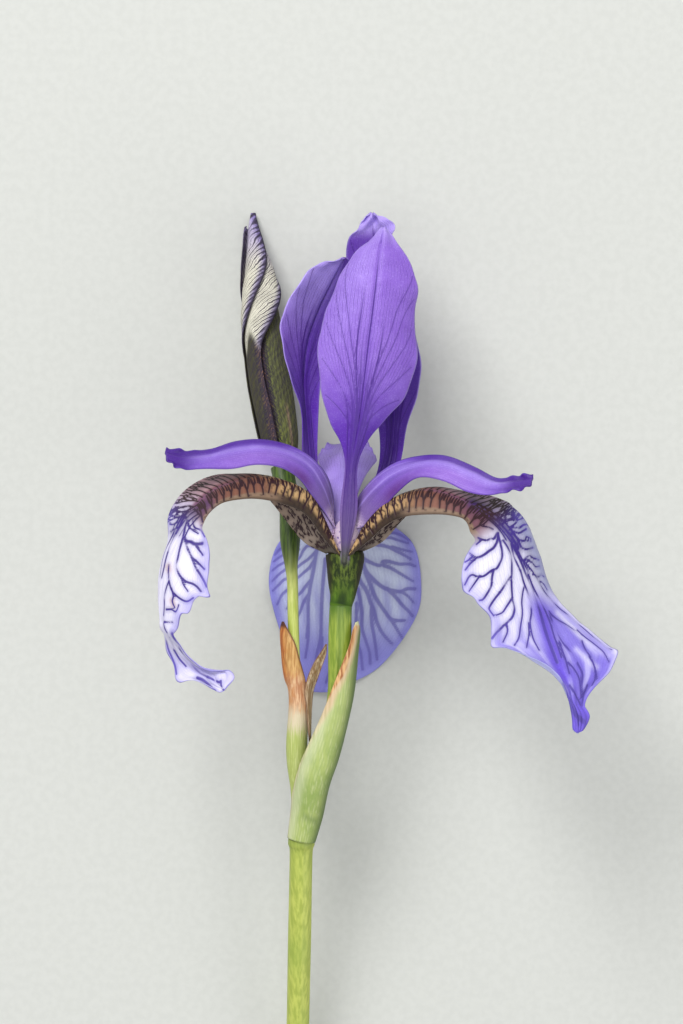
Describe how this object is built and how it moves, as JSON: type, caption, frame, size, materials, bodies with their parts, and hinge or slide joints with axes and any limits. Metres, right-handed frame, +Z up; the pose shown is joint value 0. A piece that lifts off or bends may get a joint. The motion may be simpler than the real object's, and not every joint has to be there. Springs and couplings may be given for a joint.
{
  "type": "siberian iris flower stem",
  "caption": "Cut stem of Siberian iris lying down, with a fully open violet flower with hanging veined falls, upright standards and a rolled bud in papery bracts.",
  "frame": {"origin": "centre of the bounding box's base, on the surface that the flower lies on", "axes": "+Y from the cut end of the stem to the tips of the upright petals, +Z up through the front of the open flower, +X to the right seen from above"},
  "size_m": [0.0644, 0.132, 0.0387],
  "materials": {
    "stem_green": "satin, fresh stem",
    "spathe_green": "matt, finely ribbed bract",
    "spathe_papery": "matt, dry papery bract",
    "ovary_lime": "satin, fresh ovary and stalk",
    "tube_green": "satin, fresh tube",
    "fall_violet_white": "matt petal, white with branching violet veins",
    "standard_violet": "matt petal, violet with fine darker veins",
    "style_violet": "satin petal-like style arm",
    "stamen_cream": "matt, powdery anther",
    "bud_stalk_green": "satin, fresh stalk",
    "bud_olive": "matt rolled bud petal, olive below and cream and violet above"
  },
  "bodies": {
    "root": {"flower_stem": "stem_green", "outer_spathe": "spathe_green", "inner_spathe": "spathe_papery", "bracteole": "spathe_papery", "flower_ovary": "ovary_lime", "perianth_tube": "tube_green", "fall_right": "fall_violet_white", "fall_left": "fall_violet_white", "fall_back": "fall_violet_white", "standard_front": "standard_violet", "standard_left": "standard_violet", "standard_right": "standard_violet", "style_column": "style_violet", "style_right": "style_violet", "style_left": "style_violet", "style_back": "style_violet", "stamen_right": "stamen_cream", "stamen_left": "stamen_cream", "stamen_back": "stamen_cream", "bud_ovary": "bud_stalk_green", "bud_petal_front": "bud_olive", "bud_petal_left": "bud_olive", "bud_petal_right": "bud_olive"}
  },
  "joints": []
}
